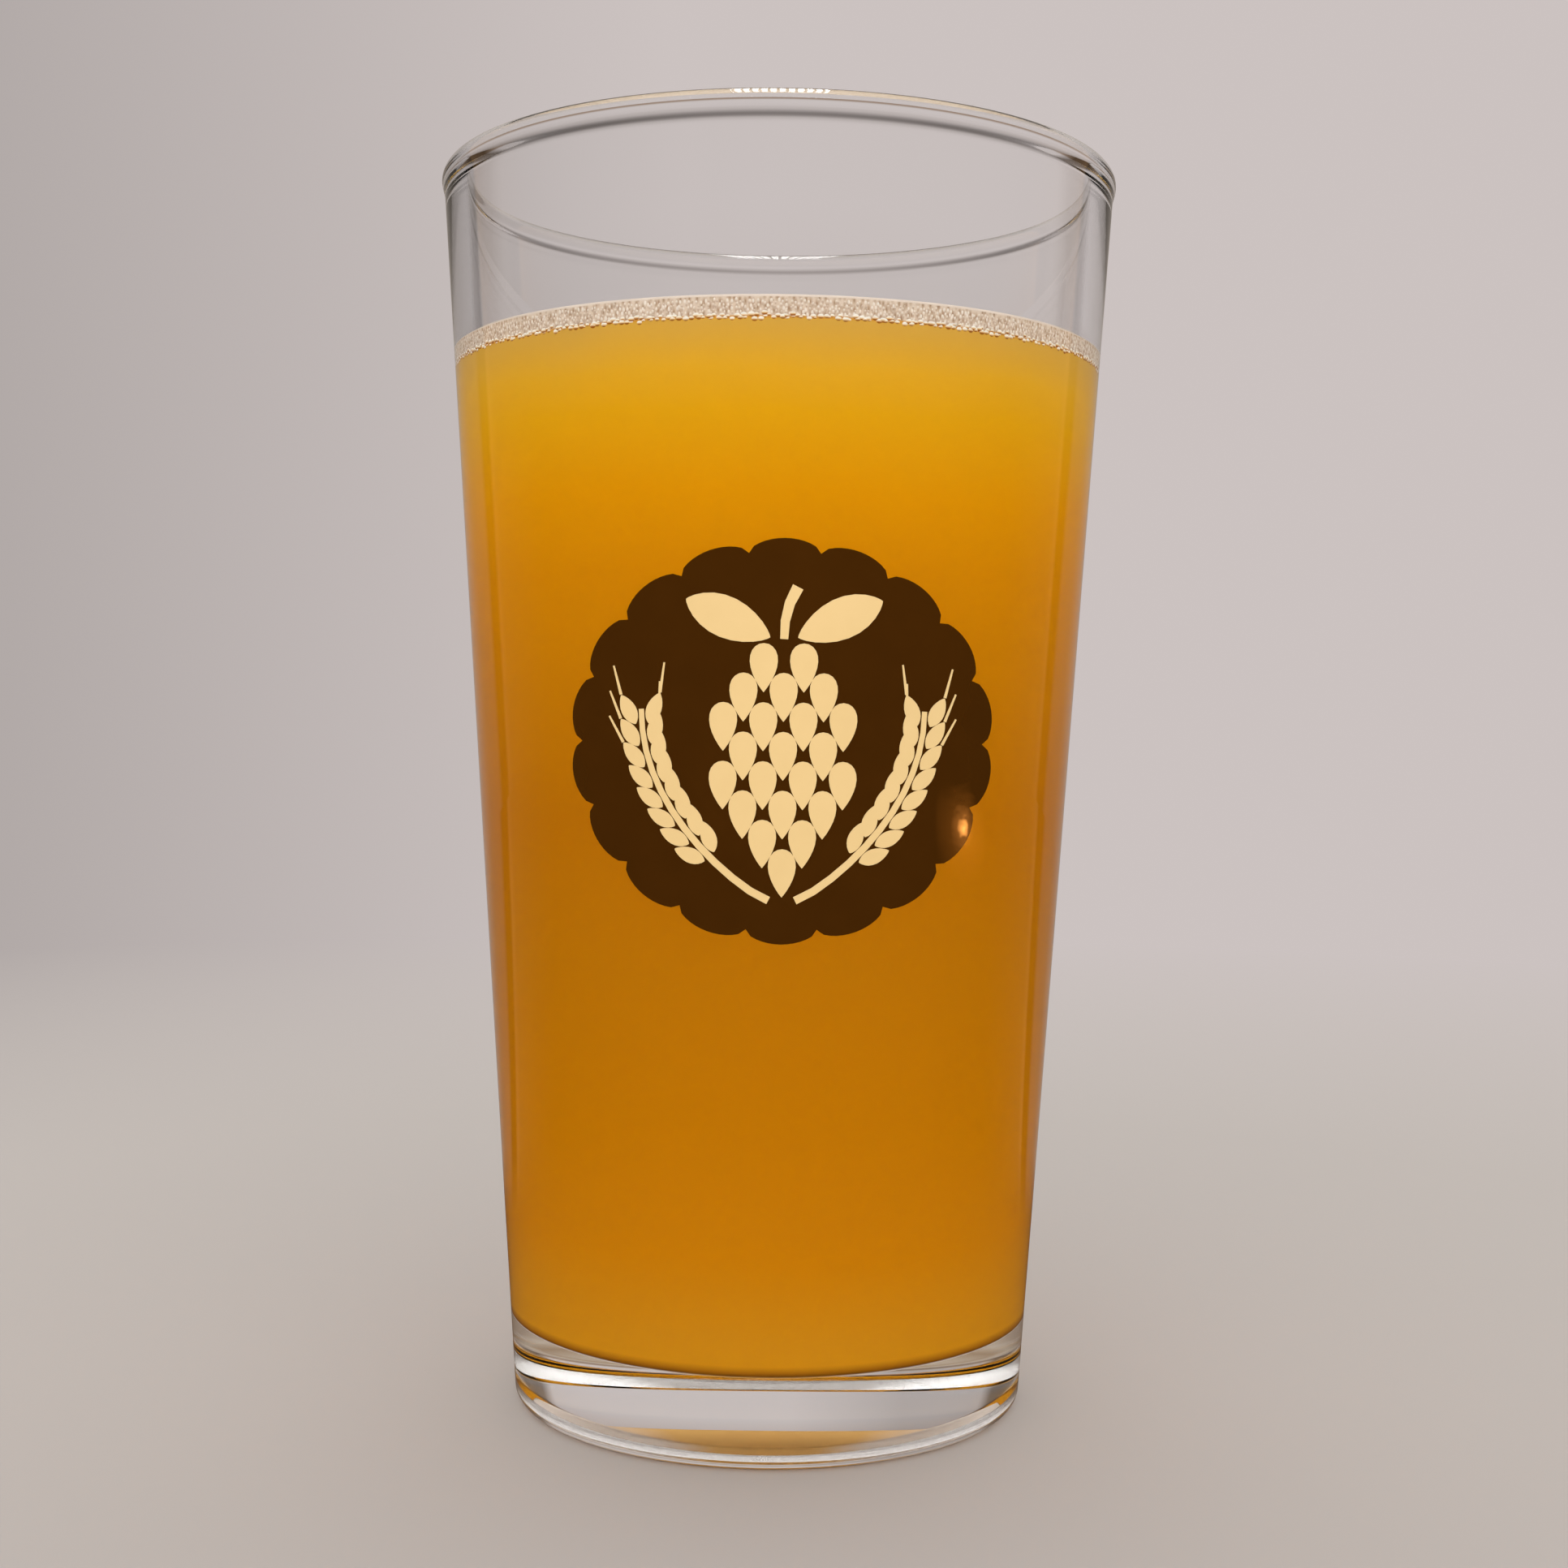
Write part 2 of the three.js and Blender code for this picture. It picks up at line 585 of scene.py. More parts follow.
@dataclass(frozen=True)
class FoamCore:
    """The body of the foam behind its bubbles: beige, with upright pores on the wall, darker in their middles
    as painted shade, and a cream top edge.
    """

    radius: float = 38.6  # about where the foam meets the wall
    ledge: Point = (0.5, 0.9)  # how far in from there the wall's pores give way to the upper side's froth
    pore: float = 0.5
    squash: float = 0.45  # makes the pores taller than wide
    cell: float = 0.7
    wet: Point = (131.98, 132.18)  # below these heights the beer shows between the large bubbles
    cream: Point = (134.08, 134.18)  # above these heights the edge is plain cream

    def material(self) -> bpy.types.Material:
        """Builds the foam body's finish.

        Returns:
            The material.
        """
        nodes = Nodes.material("foam_core")
        x, y, z = nodes.axes(nodes.place())
        turn = nodes.math("MULTIPLY", nodes.math("ARCTAN2", x, y), self.radius * MM)
        unrolled = nodes.add("CombineXYZ")
        for value, socket in zip((turn, nodes.math("MULTIPLY", z, self.squash)), unrolled.inputs):
            nodes.link(value, socket)
        pores = nodes.add("TexVoronoi", voronoi_dimensions="2D", Scale=1 / (self.pore * MM))
        nodes.link(unrolled.outputs[0], pores.inputs["Vector"])
        # pores darkest at their middle: painted shade in the foam's small hollows
        stops = [(0.0, linear(162, 128, 98)), (0.25, linear(202, 178, 153)), (0.6, linear(227, 210, 191))]
        dry = nodes.share(z, self.wet[0] * MM, self.wet[1] * MM)
        wall = nodes.mix(dry, linear(214, 156, 56), nodes.ramp(pores.outputs["Distance"], stops))
        cells = nodes.add("TexVoronoi", feature="DISTANCE_TO_EDGE", Scale=1 / (self.cell * MM))
        nodes.link(nodes.place(), cells.inputs["Vector"])
        shades = [(0.0, linear(230, 214, 196)), (0.12, linear(212, 192, 168)), (0.5, linear(196, 172, 144))]
        froth = nodes.ramp(cells.outputs["Distance"], shades)
        top = nodes.mix(nodes.noise(260, 3.0), froth, linear(222, 204, 182))
        squares = nodes.math("ADD", nodes.math("POWER", x, 2.0), nodes.math("POWER", y, 2.0))
        inner = nodes.share(nodes.math("SQRT", squares), *((self.radius - step) * MM for step in self.ledge))
        edge = nodes.share(z, self.cream[0] * MM, self.cream[1] * MM)
        colour = nodes.mix(inner, nodes.mix(edge, wall, linear(230, 216, 202)), top)
        body = nodes.add("BsdfPrincipled", Roughness=0.6, IOR=1.34)
        nodes.link(colour, body.inputs["Base Color"])
        return nodes.finish(body.outputs[0])


@dataclass(frozen=True)
class Enamel:
    """Fired-on printing enamel: an even colour with slight mottling and a soft gloss."""

    name: str
    base: Paint
    worn: Paint

    def material(self) -> bpy.types.Material:
        """Builds the enamel's finish.

        Returns:
            The material.
        """
        nodes = Nodes.material(self.name)
        colour = nodes.mix(nodes.noise(220, 4.0), self.base, self.worn)
        body = nodes.add("BsdfPrincipled", IOR=1.5, Roughness=0.0)
        nodes.link(colour, body.inputs["Base Color"])
        peel = nodes.add("Bump", Strength=0.003, Distance=MM)
        nodes.link(nodes.noise(700, 1.0), peel.inputs["Height"])
        nodes.link(peel.outputs[0], body.inputs["Normal"])
        return nodes.finish(body.outputs[0])


@dataclass(frozen=True)
class GlassForm:
    """The pint glass's sizes in millimetres, about the Z axis, standing on Z = 0."""

    height: float
    rim_radius: float
    foot_radius: float = 32.6
    heel_radius: float = 1.8
    dish_radius: float = 21.5
    dish_step: float = 0.5
    dish_depth: float = 1.1
    wall_at_rim: float = 2.5
    wall_at_floor: float = 3.4
    floor_height: float = 10.2
    floor_corner: float = 4.0
    bead_out: float = 0.27
    bead_in: float = 0.35
    bead_top: float = 1.6
    bead_blend: float = 1.9
    sides: int = 192

    @property
    def widest(self) -> float:
        """Height of the rim's widest point."""
        return self.height - self.bead_top

    def outer(self, height: float) -> float:
        """Radius of the outer wall at a height."""
        return self.foot_radius + (self.rim_radius - self.bead_out - self.foot_radius) * height / self.widest

    def inner(self, height: float) -> float:
        """Radius of the inner wall at a height."""
        share = (height - self.floor_height) / (self.widest - self.floor_height)
        return self.outer(height) - self.wall_at_floor - (self.wall_at_rim - self.wall_at_floor) * share

    def swelling(self, wall: Radius, proud: float, steps: int = 10) -> list[Point]:
        """Points of a wall that swells into the rim.

        Args:
            wall: The wall's radius at a height.
            proud: How far the rim stands out from it.
            steps: Number of chords.

        Returns:
            The points from the start of the swelling up to the widest point.
        """
        points = []
        for i in range(steps + 1):
            height = self.widest - self.bead_blend * (1 - i / steps)
            points.append((wall(height) + proud * (1 - math.cos(math.pi * i / steps)) / 2, height))
        return points

    def dish(self, steps: int = 12) -> list[Point]:
        """Points of the dish under the base.

        Args:
            steps: Number of chords.

        Returns:
            The points from the dish's middle to the ring that the glass stands on.
        """
        edge = self.dish_radius - self.dish_step
        rise = self.dish_depth - self.dish_step
        cap = [(edge * i / steps, self.dish_step + rise * (1 - (i / steps) ** 2)) for i in range(steps + 1)]
        return cap + [(self.dish_radius, 0.0)]

    def corner(self, clearance: float = 0.0, steps: int = 12) -> list[Point]:
        """Points of the inner corner.

        Args:
            clearance: How far they are moved inwards.
            steps: Number of chords.

        Returns:
            The points from the wall down to the floor.
        """
        height = self.floor_height + self.floor_corner
        radius = self.floor_corner - clearance
        centre = (self.inner(height) - self.floor_corner, height)
        return arc(centre, radius, radius, 0, -QUARTER, steps)

    def rim(self, steps: int = 24) -> list[Point]:
        """Points of the rim.

        Args:
            steps: Number of chords over the round top.

        Returns:
            The points from the outer wall over the top to the inner wall.
        """
        outside = self.swelling(self.outer, self.bead_out)
        inside = self.swelling(self.inner, -self.bead_in)[::-1]
        middle = (outside[-1][0] + inside[0][0]) / 2
        top = arc((middle, self.widest), outside[-1][0] - middle, self.bead_top, 0, math.pi, steps)
        return outside + top[1:-1] + inside

    def wall(self, radius: Radius, low: float, high: float, steps: int = 8) -> list[Point]:
        """Even points of a wall between two heights, the ends left out."""
        heights = (low + (high - low) * i / steps for i in range(1, steps))
        return [(radius(h), h) for h in heights]

    def profile(self) -> list[Point]:
        """Goes round the whole closed outline.

        Returns:
            The points from the axis under the base round to the axis on the floor.
        """
        heel_centre = (self.outer(self.heel_radius) - self.heel_radius, self.heel_radius)
        heel = arc(heel_centre, self.heel_radius, self.heel_radius, -QUARTER, 0, 10)
        rise = self.wall(self.outer, self.heel_radius, self.widest - self.bead_blend)
        fall = self.wall(self.inner, self.widest - self.bead_blend, self.floor_height + self.floor_corner)
        floor = [(0.0, self.floor_height)]
        return self.dish() + heel + rise + self.rim() + fall + self.corner() + floor


def metres(profile: list[Point]) -> list[Point]:
    """Turns a profile in millimetres into metres."""
    return [(radius * MM, height * MM) for radius, height in profile]


@dataclass
class PintGlass:
    """The clear glass itself."""

    form: GlassForm

    def build(self) -> Piece:
        """Turns the glass and dresses it.

        Returns:
            The finished glass.
        """
        glass = Bench.turned("pint_glass", metres(self.form.profile()), self.form.sides)
        glass.data.materials.append(ClearGlass().material())
        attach(glass, BODY)
        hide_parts(Node.GLASS.value)
        return glass


@dataclass
class BeerBody:
    """The hazy beer, which reaches just into the wall so that no air shows between them."""

    form: GlassForm
    level: float = 131.8
    reach: float = 0.08
    sides: int = 192

    def build(self) -> Piece:
        """Turns the beer and dresses it.

        Returns:
            The finished beer.
        """
        form = self.form
        low = [(0.0, form.floor_height - self.reach)] + form.corner(-self.reach)[::-1]
        foot = form.floor_height + form.floor_corner
        side = form.wall(lambda height: form.inner(height) + self.reach, foot, self.level, 24)
        top = [(form.inner(self.level) + self.reach, self.level), (0.0, self.level)]
        beer = Bench.turned("beer_body", metres(low + side + top), self.sides)
        beer.data.materials.append(HazyBeer().material())
        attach(beer, BODY)
        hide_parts(Node.BEER.value)
        return beer


@dataclass(frozen=True)
class BubbleBand:
    """Rows of bubbles on the inside of the glass, with their sizes in millimetres."""

    name: str
    skin: Froth
    heights: tuple[float, ...]
    spacing: float
    wander: float
    sizes: Point
    stretch: Triple  # round the glass, across the wall and upwards


FINE_BUBBLES = BubbleBand(
    name="foam_fine_bubbles",
    # foot to crown: painted shade below, painted highlight on top
    skin=Froth("fine_bubbles", linear(206, 185, 164), linear(229, 215, 199), linear(244, 236, 225), 0.7),
    heights=(132.45, 132.85, 133.25, 133.65),
    spacing=0.47,
    wander=0.1,
    sizes=(0.28, 0.42),
    stretch=(0.95, 0.5, 1.75),
)
LARGE_BUBBLES = BubbleBand(
    name="foam_large_bubbles",
    # orange-brown foot: painted shadow, partly the beer showing through; near-white crown: painted glint
    skin=Froth("large_bubbles", linear(164, 98, 22), linear(238, 206, 150), linear(255, 252, 242), 0.25),
    heights=(131.86, 132.15),
    spacing=0.76,
    wander=0.08,
    sizes=(0.55, 0.95),
    stretch=(0.95, 0.42, 0.66),
)


@dataclass
class FoamLayer:
    """The foam: a thin body across the beer, fine bubbles on the wall and larger ones under them."""

    form: GlassForm
    level: float = 131.8
    dip: float = 0.2  # how far the foam's underside lies in the beer
    top: float = 134.4
    lip: Point = (0.12, 0.25)  # width and height of the bevel at the wall
    hollow: float = 0.9
    climb: float = 3.0
    reach: float = 0.03
    sides: int = 192
    seed: int = 11
    stray: float = 0.3  # how far a bubble strays along its row, as a share of the spacing
    top_count: int = 3000
    top_margin: float = 1.0
    top_sizes: Point = (0.35, 1.95)

    def surface_height(self, inwards: np.ndarray | float) -> np.ndarray | float:
        """Height of the foam's upper side at a distance in from the wall."""
        return self.top - self.hollow * np.sin(QUARTER * np.clip(inwards / self.climb, 0, 1))

    def core(self, steps: int = 8) -> Piece:
        """Turns the foam's body.

        Args:
            steps: Number of chords across the slope of its upper side.

        Returns:
            The dressed body.
        """
        edge = self.form.inner(self.top) + self.reach
        width, height = self.lip
        lip = [(edge, self.top - height), (edge - width, self.top)]
        runs = (self.climb * i / steps for i in range(1, steps + 1))
        slope = [(edge - run, float(self.surface_height(run))) for run in runs]
        under = self.level - self.dip
        base = [(0.0, under), (self.form.inner(self.level) + self.reach, under)]
        profile = base + lip + slope + [(0.0, self.top - self.hollow)]
        core = Bench.turned("foam_body", metres(profile), self.sides)
        core.data.materials.append(FoamCore().material())
        return core

    def bubble(self, neck: float = 0.88) -> Piece:
        """Models one small bubble: a ball of unit size, drawn in a little towards its foot.

        Args:
            neck: Width of its foot as a share of the ball's.

        Returns:
            The bubble, at the origin.
        """
        Bench.clear_selection()
        bpy.ops.mesh.primitive_uv_sphere_add(segments=8, ring_count=5, radius=0.5)
        ball = bpy.context.object
        bpy.ops.object.mode_set(mode="EDIT")
        bpy.ops.mesh.select_all(action="DESELECT")
        bpy.ops.object.mode_set(mode="OBJECT")
        for vertex in ball.data.vertices:
            vertex.select = vertex.co.z < -0.2
        bpy.ops.object.mode_set(mode="EDIT")
        bpy.ops.transform.resize(value=(neck, neck, 1.0), center_override=(0, 0, 0))
        bpy.ops.object.mode_set(mode="OBJECT")
        return ball

    def on_wall(
        self, angles: np.ndarray, heights: np.ndarray, sizes: np.ndarray, stretch: Triple
    ) -> tuple[np.ndarray, np.ndarray]:
        """Places and frames for bubbles that sit half in the inside of the glass.

        Args:
            angles: Each bubble's angle round the glass.
            heights: Each bubble's height in millimetres.
            sizes: Each bubble's size in millimetres.
            stretch: Scale of a bubble round the glass, across the wall and upwards.

        Returns:
            The centres in metres, and one frame for each bubble.
        """
        radii = np.array([self.form.inner(height) for height in heights])
        cos, sin, none = np.cos(angles), np.sin(angles), np.zeros(len(angles))
        places = np.stack([radii * cos, radii * sin, heights], axis=1)
        directions = ((-sin, cos, none), (cos, sin, none), (none, none, none + 1))
        spans = [np.stack(d, axis=1) * (sizes * scale)[:, None] for d, scale in zip(directions, stretch)]
        return places * MM, np.stack(spans, axis=2) * MM

    def rows(self, band: BubbleBand, seed: int) -> tuple[np.ndarray, np.ndarray]:
        """Staggers a band's rows round the wall.

        Args:
            band: The band of bubbles.
            seed: Seeds the strays.

        Returns:
            Each bubble's angle round the glass and its height.
        """
        rng = np.random.default_rng(seed)
        count = int(TURN * self.form.inner(self.level) / band.spacing)
        places = np.arange(count)
        strays = [rng.uniform(-self.stray, self.stray, count) for _ in band.heights]
        turns = [(places + 0.5 * (i % 2) + stray) * TURN / count for i, stray in enumerate(strays)]
        levels = [height + rng.normal(0.0, band.wander, count) for height in band.heights]
        return np.concatenate(turns), np.concatenate(levels)

    def bubbles(self, band: BubbleBand, seed: int) -> Piece:
        """Sets one band of bubbles on the wall.

        Args:
            band: The band of bubbles.
            seed: Seeds their places and sizes.

        Returns:
            The joined and dressed bubbles.
        """
        angles, heights = self.rows(band, seed)
        sizes = np.random.default_rng(seed).uniform(*band.sizes, len(angles))
        places, frames = self.on_wall(angles, heights, sizes, band.stretch)
        bubbles = Bench.copies(band.name, self.bubble(), places, frames)
        bubbles.data.materials.append(band.skin.material())
        return bubbles

    def surface(self, seed: int) -> Piece:
        """Scatters bubbles of mixed size over the foam's upper side, closer together near the wall.

        Args:
            seed: Seeds their places and sizes.

        Returns:
            The joined and dressed bubbles.
        """
        rng = np.random.default_rng(seed)
        wall = self.form.inner(self.top)
        small, big = self.top_sizes
        radii = (wall - self.top_margin) * np.sqrt(rng.random(self.top_count) ** 0.8)
        angles = rng.random(self.top_count) * TURN
        sizes = small + (big - small) * rng.random(self.top_count) ** 5
        heights = self.surface_height(wall - radii) - sizes * 0.12
        places = np.stack([radii * np.cos(angles), radii * np.sin(angles), heights], axis=1) * MM
        frames = np.eye(3)[None] * (sizes * MM)[:, None, None]
        bubbles = Bench.copies("foam_top_bubbles", self.bubble(), places, frames)
        # foot to crown: painted shade below, painted highlight on top
        skin = Froth("top_bubbles", linear(176, 150, 122), linear(206, 184, 160), linear(232, 218, 200), 0.4)
        bubbles.data.materials.append(skin.material())
        return bubbles

    def build(self) -> list[Piece]:
        """Builds the foam's body and its bubbles.

        Returns:
            The finished pieces.
        """
        fine = (FINE_BUBBLES, self.seed)
        large = (LARGE_BUBBLES, self.seed + 1)
        pieces = [self.core(), self.bubbles(*fine), self.bubbles(*large), self.surface(self.seed + 2)]
        for piece in pieces:
            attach(piece, BODY)
            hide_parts(Node.FOAM.value)
        return pieces


class Outline:
    """Flat outlines for the print, each a closed run of points in millimetres."""

    @staticmethod
    def badge(half_width: float, half_height: float, lobes: int = 18, depth: float = 0.06) -> list[Point]:
        """The badge's scalloped edge, round like a crown cap.

        Args:
            half_width: Half its width.
            half_height: Half its height.
            lobes: Number of scallops.
            depth: How far the notches cut in, as a share of the radius.

        Returns:
            The outline.
        """
        points = []
        count = lobes * 12
        for i in range(count):
            angle = TURN * i / count
            reach = 1 - depth + depth * math.sqrt(abs(math.sin(angle * lobes / 2)))
            points.append((half_width * reach * math.cos(angle), half_height * reach * math.sin(angle)))
        return points

    @staticmethod
    def petal(centre: Point, length: float, width: float, turn: float, lean: float = 0.0) -> list[Point]:
        """A pointed petal, used for the hop's scales, its leaves and the grains.

        Args:
            centre: Its middle.
            length: From tip to tip.
            width: Across its middle.
            turn: Angle of its length from upright, in radians.
            lean: Shifts the widest part towards one tip, from -1 to 1.

        Returns:
            The outline.
        """
        points = []
        cos, sin, count = math.cos(turn), math.sin(turn), 24
        for i in range(count):
            angle = TURN * i / count
            along = math.cos(angle) * length / 2
            across = math.sin(angle) * abs(math.sin(angle)) ** 0.6 * width / 2 * (1 + lean * math.cos(angle))
            points.append((centre[0] + across * cos - along * sin, centre[1] + across * sin + along * cos))
        return points

    @staticmethod
    def bract(centre: Point, length: float, width: float) -> list[Point]:
        """A scale of the hop cone, round above and pointed below.

        Args:
            centre: Its middle.
            length: From its top to its tip.
            width: Across its widest part.

        Returns:
            The outline.
        """
        half = []
        for i in range(1, 12):
            share = (1 - math.cos(math.pi * i / 12)) / 2
            reach = share **0.95 * (1 - share) ** 0.5 * 2.35
            half.append((reach * width / 2, (share - 0.5) * length))
        right = [(centre[0] + x, centre[1] + y) for x, y in half]
        left = [(centre[0] - x, centre[1] + y) for x, y in half[::-1]]
        return [(centre[0], centre[1] - length / 2)] + right + [(centre[0], centre[1] + length / 2)] + left

    @staticmethod
    def stroke(path: list[Point], thick: float, thin: float) -> list[Point]:
        """A line that tapers along a path.

        Args:
            path: Its middle line.
            thick: Width at the start.
            thin: Width at the end.

        Returns:
            The outline.
        """
        left, right = [], []
        for i, (x, y) in enumerate(path):
            before, after = path[max(i - 1, 0)], path[min(i + 1, len(path) - 1)]
            run = math.hypot(after[0] - before[0], after[1] - before[1])
            half = (thick + (thin - thick) * i / (len(path) - 1)) / 2
            off = (-(after[1] - before[1]) / run * half, (after[0] - before[0]) / run * half)
            left.append((x + off[0], y + off[1]))
            right.append((x - off[0], y - off[1]))
        return left + right[::-1]


@dataclass
class Badge:
    """A generic printed badge: a dark scalloped round with a cream hop cone between two barley ears."""

    form: GlassForm
    centre: Point = (1.1, 84.6)
    half_width: float = 24.6
    half_height: float = 22.8
    film: float = 0.04
    clearance: float = 0.005
    strip: float = 0.8  # width of the flat strips that follow the wall
    strip_shift: float = 0.013  # keeps the cuts off the drawing's own points
    bracts: tuple[int, ...] = (2, 3, 4, 3, 4, 3, 2, 1)
    bract_pitch: float = 4.5
    bract_drop: float = 3.3
    bract_top: float = 8.4
    leaf: Point = (10.4, 4.6)
    grain: Point = (3.7, 1.75)
    awn: float = 3.4
    dark: tuple[Paint, Paint] = (linear(56, 30, 4), linear(50, 26, 3))
    pale: tuple[Paint, Paint] = (linear(202, 174, 124), linear(196, 168, 117))

    def hop(self) -> list[list[Point]]:
        """Draws the hop cone: rows of scales that narrow downwards, a stem and two leaves.

        Returns:
            Its outlines.
        """
        outlines = []
        length, width = self.bract_drop * 1.66, self.bract_pitch * 0.76
        for row, count in enumerate(self.bracts):
            for i in range(count):
                at = ((i - (count - 1) / 2) * self.bract_pitch, self.bract_top - self.bract_drop * row)
                outlines.append(Outline.bract(at, length, width))
        for side in (-1, 1):
            outlines.append(Outline.petal((side * 6.3, 13.9), *self.leaf, -side * 1.15, 0.1))
        stem = [(0.0, 11.6), (0.1, 13.6), (0.6, 15.6), (1.5, 17.4)]
        outlines.append(Outline.stroke(stem, 0.9, 1.3))
        return outlines

    def ear(self, side: int) -> list[list[Point]]:
        """One barley ear that curves up beside the hop.

        Args:
            side: -1 for the left ear and 1 for the right one.

        Returns:
            Its outlines.
        """
        steps = np.linspace(0, 1, 12)
        bend = [(side * (1.5 + 14.6 * math.sin(QUARTER * t)), -17.8 + 21.5 * t**1.25) for t in steps]
        outlines = [Outline.stroke(bend, 0.9, 0.6)]
        for i in range(4, 12):
            x, y = bend[i]
            x0, y0 = bend[i - 1]
            heading = math.atan2(-(x - x0), y - y0)
            for hand in (-1, 1):
                tilt, splay = heading - hand * 0.42, heading - hand * 0.2
                at = (x + hand * 1.5 * math.cos(heading), y + hand * 1.5 * math.sin(heading))
                outlines.append(Outline.petal(at, *self.grain, tilt, -0.15))
                tip = (at[0] - 1.9 * math.sin(tilt), at[1] + 1.9 * math.cos(tilt))
                end = (tip[0] - self.awn * math.sin(splay), tip[1] + self.awn * math.cos(splay))
                if i > 8:
                    outlines.append(Outline.stroke([tip, end], 0.34, 0.2))
        return outlines

    def shell(self, name: str, outlines: list[list[Point]], lift: float) -> Piece:
        """Cuts flat outlines into narrow strips, lays them on the wall and gives them a film's thickness.

        Args:
            name: The piece's name.
            outlines: Closed outlines about the badge's centre, in millimetres.
            lift: Height of the film's outside above the wall, in millimetres.

        Returns:
            The finished shell.
        """
        mesh = bpy.data.meshes.new(name)
        corners = [(x * MM, 0, z * MM) for outline in outlines for x, z in outline]
        starts = np.cumsum([0] + [len(outline) for outline in outlines])
        mesh.from_pydata(corners, [], [tuple(range(a, b)) for a, b in zip(starts, starts[1:])])
        piece = Bench.linked(name, mesh)
        Bench.pick(piece)
        bpy.ops.object.mode_set(mode="EDIT")
        for x in np.arange(-25, 25.01, self.strip) + self.strip_shift:
            bpy.ops.mesh.select_all(action="SELECT")
            bpy.ops.mesh.bisect(plane_co=(x * MM, 0, 0), plane_no=(1, 0, 0))
        bpy.ops.mesh.select_all(action="SELECT")
        bpy.ops.mesh.quads_convert_to_tris()
        bpy.ops.mesh.normals_make_consistent(inside=False)
        bpy.ops.object.mode_set(mode="OBJECT")
        for vertex in mesh.vertices:
            x, z = vertex.co.x / MM + self.centre[0], vertex.co.z / MM + self.centre[1]
            radius = self.form.outer(z) + lift
            vertex.co = Vector((x, -math.sqrt(radius**2 - x**2), z)) * MM
        if sum(polygon.normal.y * polygon.area for polygon in mesh.polygons) > 0:
            mesh.flip_normals()
        Bench.modify(piece, "SOLIDIFY", thickness=self.film * MM, offset=-1.0)
        bpy.ops.object.shade_smooth_by_angle(angle=math.radians(40))
        return piece

    def build(self) -> list[Piece]:
        """Prints the dark badge and then the cream drawing on it.

        Returns:
            The dark piece and the cream one.
        """
        edge = [Outline.badge(self.half_width, self.half_height)]
        dark = self.shell("badge_dark", edge, self.film + self.clearance)
        dark.data.materials.append(Enamel("dark_enamel", *self.dark).material())
        drawing = self.hop() + self.ear(-1) + self.ear(1)
        pale = self.shell("badge_pale", drawing, self.film * 2)
        pale.data.materials.append(Enamel("pale_enamel", *self.pale).material())
        for piece, slot in ((dark, Slot.DARK_PRINT), (pale, Slot.PALE_PRINT)):
            piece.visible_transmission = False
            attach(piece, BODY)
        return [dark, pale]


